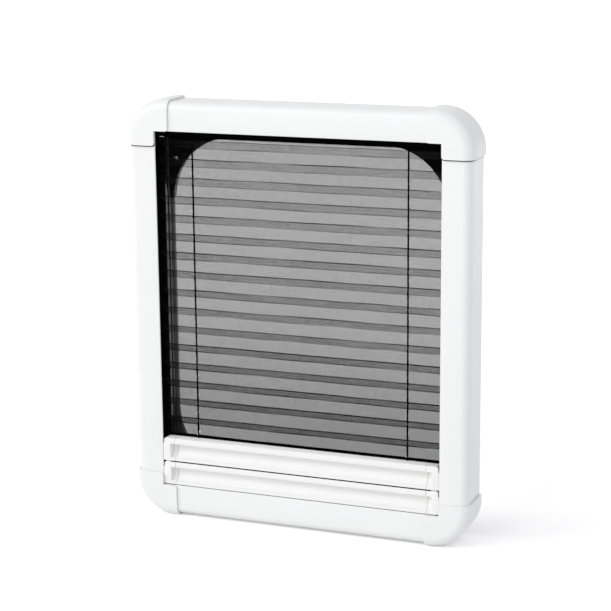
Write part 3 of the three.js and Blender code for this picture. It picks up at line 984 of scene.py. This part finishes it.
def woven_screen():
    """Round black threads both ways, drawn coarser than the real 1.2 mm so that they show.

    They give a grey veil that the light behind comes through, and a dark line along each fold.
    Painted shade closes the veil more towards the bar, on the steeper pleats and near the head.
    """
    made = bpy.data.materials.new("PVC-coated fibreglass mesh")
    made.use_nodes = True
    tree = made.node_tree
    surface = tree.nodes["Principled BSDF"]
    place = add_node(tree, "ShaderNodeUVMap", {"uv_map": "cloth"})
    split = add_node(tree, "ShaderNodeSeparateXYZ", links={0: place.outputs["UV"]})
    threads = []
    for axis in ("X", "Y"):
        scaled = add_node(
            tree,
            "ShaderNodeMath",
            {"operation": "MULTIPLY", 1: 1 / (thread_spacing * millimetre)},
            {0: split.outputs[axis]},
        )
        across = add_node(
            tree, "ShaderNodeMath", {"operation": "PINGPONG", 1: 0.5}, {0: scaled.outputs[0]}
        )
        half = thread_width / thread_spacing / 2
        threads.append(
            add_node(
                tree,
                "ShaderNodeMapRange",
                {
                    "From Min": half * (1 - thread_blur),
                    "From Max": half * (1 + thread_blur),
                    "To Min": 1,
                    "To Max": 0,
                },
                {"Value": across.outputs[0]},
            )
        )
    either = add_node(
        tree,
        "ShaderNodeMath",
        {"operation": "MAXIMUM"},
        {0: threads[0].outputs[0], 1: threads[1].outputs[0]},
    )
    # The crease attribute carries the fold lines and the painted shade together.
    pressed = add_node(tree, "ShaderNodeAttribute", {"attribute_name": "crease"})
    crease_and_shade_cover = add_node(
        tree,
        "ShaderNodeMath",
        {"operation": "MULTIPLY", "use_clamp": True, 1: crease_strength},
        {0: pressed.outputs["Fac"]},
    )
    cover = add_node(
        tree, "ShaderNodeMath", {"operation": "MAXIMUM"}, {0: either.outputs[0], 1: crease_and_shade_cover.outputs[0]}
    )
    tree.links.new(cover.outputs[0], surface.inputs["Alpha"])
    fuzz = add_node(
        tree,
        "ShaderNodeTexNoise",
        {"Scale": 1 / (thread_fuzz * millimetre), "Detail": 2},
        {"Vector": place.outputs["UV"]},
    )
    tint = add_node(
        tree,
        "ShaderNodeMix",
        {"data_type": "RGBA", 6: linear(thread_black), 7: linear(thread_shade)},
        {0: fuzz.outputs["Fac"]},
    )
    tree.links.new(tint.outputs[2], surface.inputs["Base Color"])
    surface.inputs["Roughness"].default_value = 0.7
    surface.inputs["Specular IOR Level"].default_value = 0.03
    lift = add_node(
        tree,
        "ShaderNodeBump",
        {"Strength": 0.6, "Distance": thread_relief * millimetre},
        {"Height": either.outputs[0]},
    )
    tree.links.new(lift.outputs[0], surface.inputs["Normal"])
    return made


def settle(piece):
    """Applies a piece's modifiers, so that its mesh is final."""
    final = bpy.data.meshes.new_from_object(piece.evaluated_get(bpy.context.evaluated_depsgraph_get()))
    piece.modifiers.clear()
    piece.data = final


half_pleat = (first_fold - last_fold) / (2 * pleat_count)
screen_folds = [(head_exit, screen_top)]
for k in range(2 * pleat_count):
    lift = fold_lift * math.sin(math.pi * k / (2 * pleat_count))
    screen_folds.append((pleat_back if k % 2 else pleat_front, first_fold - k * half_pleat + lift))
screen_folds.append((hem_front, last_fold))
screen_folds.append((hem_back, screen_bottom))
low_share = (cord_y - hole_half - pleat_front) / (pleat_back - pleat_front)
high_share = (cord_y + hole_half - pleat_front) / (pleat_back - pleat_front)
screen_rows = (0, crease_reach, 0.2, low_share, high_share, 0.8, 1 - crease_reach)
screen, screen_length = pleated(
    "insect_screen_cloth",
    screen_folds,
    screen_rows,
    woven_screen(),
    wave_depth,
    wave_height,
    seed=5,
    step=screen_column_step,
)
shell = screen.modifiers.new("thread thickness", "SOLIDIFY")
shell.thickness = screen_thickness * millimetre
shell.offset = 0
settle(screen)

# The drawn threads are thicker than the real ones and would stop too much light. So they cast no
# shadow, and scattered and mirrored light passes them.
screen.visible_shadow = False
screen.visible_diffuse = False
screen.visible_glossy = False
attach(screen, "frame")
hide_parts("insect_screen")
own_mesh(screen)

# Blackout cloth: pleated polyester with an opaque backing, pale grey, stored as a pack in the sill tray.
# Its lower edge is fixed in the tray and its upper edge goes up with the lower bar.
blackout_top = 42.1
blackout_bottom = 20.9
blackout_wave = 0.3
blackout_column_step = 16


def closed_share(share):
    """Where a fold lies in the stored pack, so that the drawn cloth hangs in even pleats."""
    return 0.5 - math.sin(math.asin(1 - 2 * share) / 3)


# Backed polyester gives a soft, even grey that no light comes through.
opaque_polyester = grained(
    "backed polyester cloth", "#cfd0d3", "#c3c4c8", grain=0.6, relief=0.05, roughness=0.8, spread=0.08
)
blackout_folds = []
for k in range(2 * pleat_count + 1):
    share = closed_share(1 - k / (2 * pleat_count))
    height = blackout_bottom + (blackout_top - blackout_bottom) * share
    blackout_folds.append((pleat_back if k % 2 else pleat_front, height))
blackout, _ = pleated(
    "blackout_cloth",
    blackout_folds,
    (0, low_share, high_share),
    opaque_polyester,
    blackout_wave,
    0,
    seed=9,
    step=blackout_column_step,
)
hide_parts("blackout_fabric")
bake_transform(blackout)

# Clamp strips: four black extruded strips that grip the edges of the two cloths.
# A small pale nylon clip is pressed on the front of the head clamp, near its left end.
clamp_edge = 0.3
clip_edge = 0.2
clip_trim = 0.8
clip_upper_part = 554.5
clip_left_part = -200
for node in ("screen_head_clamp", "screen_bar_clamp", "blackout_bar_clamp", "blackout_sill_clamp"):
    soften(node, clamp_edge, matt_abs)

# Grey nylon gives a small dull spot on the black strip.
grey_nylon = grained(
    "moulded grey nylon",
    "#929393",
    "#868787",
    grain=0.8,
    relief=0.012,
    roughness=0.45,
    spread=0.06,
    ior=1.53,
)

# The clip is a little smaller than its solid: its upper part comes down and its left part comes in.
clip = soften("head_clip", clip_edge, grey_nylon)
for corner in clip.data.vertices:
    if corner.co.z > at(0, 0, clip_upper_part).z:
        corner.co.z -= clip_trim * millimetre
    if corner.co.x < at(clip_left_part, 0, 0).x:
        corner.co.x += clip_trim * millimetre

# Grip bars: extruded aluminium in the same white powder coat, with a scooped finger groove at the front.
# The upper bar carries the insect screen and the lower one the blackout cloth.
bar_white = "#f2f2f1"
bar_shade = "#eeeeed"
bar_x = 189.55
bar_height = 34.4
bar_front = 0.5
bar_back = 28.5
bar_wall = 2
bar_lip_height = 8.5
bar_foot_height = 5
bar_lip_drop = 1.4
bar_edge_round = 0.6
groove_depth = 12
groove_steps = 16
bar_edge_steps = 6
lower_bar_z = 45
upper_bar_z = 80.4

# The coat on the bars is drawn a little lighter than the frame's, painted light, and duller, which keeps the
# grooves soft.
bar_coat = grained(
    "powder-coated bar",
    bar_white,
    bar_shade,
    grain=orange_peel,
    relief=orange_peel_relief,
    roughness=0.6,
    spread=0.05,
    gloss=0.1,
)


def bar_section(z):
    """The outside of a bar: the back, the rounded foot, the scoop and the rounded top lip."""
    lip_z = z + bar_height - bar_lip_height
    scoop_top = lip_z - bar_lip_drop
    scoop_foot = z + bar_foot_height
    edge_y = bar_front + bar_edge_round
    scoop = [
        (bar_front + groove_depth * a, scoop_top + (scoop_top - scoop_foot) * b)
        for a, b in arc(0, 0, 1, -90, 0, groove_steps)
    ]
    return [
        (bar_back, z),
        *arc(edge_y, z + bar_edge_round, bar_edge_round, 270, 180, bar_edge_steps),
        *scoop,
        *arc(edge_y, lip_z + bar_edge_round, bar_edge_round, 270, 180, bar_edge_steps),
        *arc(edge_y, z + bar_height - bar_edge_round, bar_edge_round, 180, 90, bar_edge_steps),
        (bar_back, z + bar_height),
    ]


for node, z in (("screen_bar", upper_bar_z), ("blackout_bar", lower_bar_z)):
    hollow_front = bar_front + groove_depth + bar_wall
    hollow = [
        (hollow_front, z + bar_wall),
        (bar_back - bar_wall, z + bar_wall),
        (bar_back - bar_wall, z + bar_height - bar_wall),
        (hollow_front, z + bar_height - bar_wall),
    ]
    points, faces = extruded(
        [bar_section(z), hollow], -bar_x, bar_x, lambda a, b, along: (along, a, b)
    )
    make_piece(node, points, faces, bar_coat, body=node)

# Bar ends: moulded white ABS, plugged into the extrusion, each a rounded rim with a side rib.
# Behind each a black acetal shoe runs in the groove of its guide track, and nylon bushes guide the cords.
bar_end_edge = 0.12
shoe_edge = 0.6
bush_edge = 0.15
bush_bore = 1.65

# White ABS drawn in the same dull white as the coat of the bars, lighter than the frame as painted light.
lightened_white_abs = grained(
    "moulded white ABS with painted light",
    bar_white,
    bar_shade,
    grain=spark_texture,
    relief=spark_texture_relief,
    roughness=0.6,
    spread=0.05,
    gloss=0.1,
)

# Acetal gives a smooth, slightly oily black.
acetal = grained(
    "moulded black acetal",
    "#141415",
    "#1a1a1b",
    grain=0.6,
    relief=0.008,
    roughness=0.3,
    spread=0.06,
    ior=1.48,
)


def open_bore(bush, side):
    """Opens a bush's bore to clear the twisted cord."""
    middle = at(side * cord_x, cord_y, 0)
    for corner in bush.data.vertices:
        outwards = Vector((corner.co.x - middle.x, corner.co.y - middle.y, 0))
        if outwards.length < bush_bore * millimetre:
            outwards = outwards.normalized() * bush_bore * millimetre
            corner.co.x = middle.x + outwards.x
            corner.co.y = middle.y + outwards.y


for bar in ("screen_bar", "blackout_bar"):
    for name in ("right", "left"):
        soften(f"{bar}_end_{name}", bar_end_edge, lightened_white_abs)
        soften(f"{bar}_shoe_{name}", shoe_edge, acetal)
        bush = soften(f"{bar}_cord_bush_{name}", bush_edge, natural_nylon)
        open_bore(bush, 1 if name == "right" else -1)

# Bar gap strip: a thin black strip, the same as the strips under the caps, cut to the width of the lower
# bar.
# It lies along the bar's top, fills the gap below the upper bar, and shows there as a dark line: painted
# shade.
gap_shade_x = 197
gap_shade_front = 0.52
gap_shade_back = 9
gap_shade_thickness = 2.04
gap_shade_sink = 0.4
gap_shade_edge = 0.1
gap_shade_z = lower_bar_z + bar_height - gap_shade_sink
section = [
    (gap_shade_front, gap_shade_z),
    (gap_shade_back, gap_shade_z),
    (gap_shade_back, gap_shade_z + gap_shade_thickness),
    (gap_shade_front, gap_shade_z + gap_shade_thickness),
]
points, faces = extruded([section], -gap_shade_x, gap_shade_x, lambda a, b, along: (along, a, b))
gap_shade_strip = make_piece("bar_gap_shade", points, faces, shade_strip_black, "blackout_bar", solid=False)
ease(gap_shade_strip, gap_shade_edge)

# Bar clips: two plates of natural nylon, injection moulded, at the back of the two bars.
# They hook over both bars and hold them together, and are hidden from the room.
bar_clip_edge = 0.5
for name in ("right", "left"):
    soften(f"bar_clip_{name}", bar_clip_edge, natural_nylon)

# Stage: a plain floor of matt white paper under a white sky, and the camera at the photograph's angle.
# Four soft lamps light it: two large ones in front and to the left, and two weak ones, right and low.
# Lengths on the stage are in metres and the power of the lamps in watts.
floor_half = 20
paper_white = "#f5f5f5"
glow_near = 0.4
glow_far = 4
glow_least = 0.28
glow_most = 0.8
sky_light = 0.59
lamp_aim = (0, 0, 0.3)
floor_mesh = bpy.data.meshes.new("floor")
floor_corners = [(x * floor_half, y * floor_half, 0) for x, y in ((-1, -1), (1, -1), (1, 1), (-1, 1))]
floor_mesh.from_pydata(floor_corners, [], [(0, 1, 2, 3)])
floor = bpy.data.objects.new("floor", floor_mesh)
bpy.context.scene.collection.objects.link(floor)


def seen_rays(tree):
    """1 where the camera, gloss or glass looks, and 0 where light falls on the object."""
    path = add_node(tree, "ShaderNodeLightPath")
    seen = path.outputs["Is Camera Ray"]
    for ray in ("Is Glossy Ray", "Is Transmission Ray"):
        either = add_node(
            tree, "ShaderNodeMath", {"operation": "MAXIMUM"}, {0: seen, 1: path.outputs[ray]}
        )
        seen = either.outputs[0]
    return seen


def paper_floor():
    """Matt white paper, which gives an even white with the blind's soft shadow on it.

    What the camera, gloss and glass see of it is lifted to white, and more so far from the blind.
    """
    made = bpy.data.materials.new("matt white paper")
    made.use_nodes = True
    tree = made.node_tree
    surface = tree.nodes["Principled BSDF"]
    surface.inputs["Base Color"].default_value = linear(paper_white)
    surface.inputs["Roughness"].default_value = 0.9
    surface.inputs["Emission Color"].default_value = (1, 1, 1, 1)
    place = add_node(tree, "ShaderNodeTexCoord")
    away = add_node(
        tree, "ShaderNodeVectorMath", {"operation": "LENGTH"}, {0: place.outputs["Object"]}
    )
    glow = add_node(
        tree,
        "ShaderNodeMapRange",
        {"From Min": glow_near, "From Max": glow_far, "To Min": glow_least, "To Max": glow_most},
        {"Value": away.outputs["Value"]},
    )
    lift = add_node(
        tree, "ShaderNodeMath", {"operation": "MULTIPLY"}, {0: seen_rays(tree), 1: glow.outputs[0]}
    )
    tree.links.new(lift.outputs[0], surface.inputs["Emission Strength"])
    return made


floor_mesh.materials.append(paper_floor())

sky = bpy.data.worlds.new("white sky")
bpy.context.scene.world = sky
sky.use_nodes = True
sky_tree = sky.node_tree
level = add_node(
    sky_tree, "ShaderNodeMapRange", {"To Min": sky_light, "To Max": 1}, {"Value": seen_rays(sky_tree)}
)
sky_tree.links.new(level.outputs[0], sky_tree.nodes["Background"].inputs["Strength"])
sky_tree.nodes["Background"].inputs["Color"].default_value = (1, 1, 1, 1)


def lamp(name, place, width, power, colour=(1, 1, 1)):
    """A square soft lamp, aimed at the middle of the blind."""
    light = bpy.data.lights.new(name, "AREA")
    light.size = width
    light.energy = power
    light.color = colour
    holder = bpy.data.objects.new(name, light)
    bpy.context.scene.collection.objects.link(holder)
    holder.location = place
    holder.rotation_euler = (Vector(lamp_aim) - Vector(place)).to_track_quat("-Z", "Y").to_euler()


lamp("front lamp", (-5, -10.74, 11.3), 7, 370)
lamp("left lamp", (-8, -6, 6), 5, 350)
lamp("right lamp", (7, -3, 6), 5, 108, (0.82, 0.8, 1))
lamp("low lamp", (-1.5, -6.5, 1.1), 2, 45)

camera_azimuth = math.radians(20.93)
camera_elevation = math.radians(13.31)
camera_roll = math.radians(-0.52)
camera_distance = 2499.7
camera_aim = at(14.8, 0, 328.6)
camera = bpy.data.cameras.new("camera")
camera.lens = 106.57
camera.clip_end = 60
holder = bpy.data.objects.new("camera", camera)
bpy.context.scene.collection.objects.link(holder)
bpy.context.scene.camera = holder
backwards = Vector(
    (
        math.sin(camera_azimuth) * math.cos(camera_elevation),
        -math.cos(camera_azimuth) * math.cos(camera_elevation),
        math.sin(camera_elevation),
    )
)
holder.matrix_world = (
    Matrix.Translation(camera_aim + backwards * camera_distance * millimetre)
    @ Matrix.Rotation(camera_azimuth, 4, "Z")
    @ Matrix.Rotation(math.pi / 2 - camera_elevation, 4, "X")
    @ Matrix.Rotation(camera_roll, 4, "Z")
)
bpy.context.scene.view_settings.view_transform = "Standard"

bpy.context.view_layer.update()
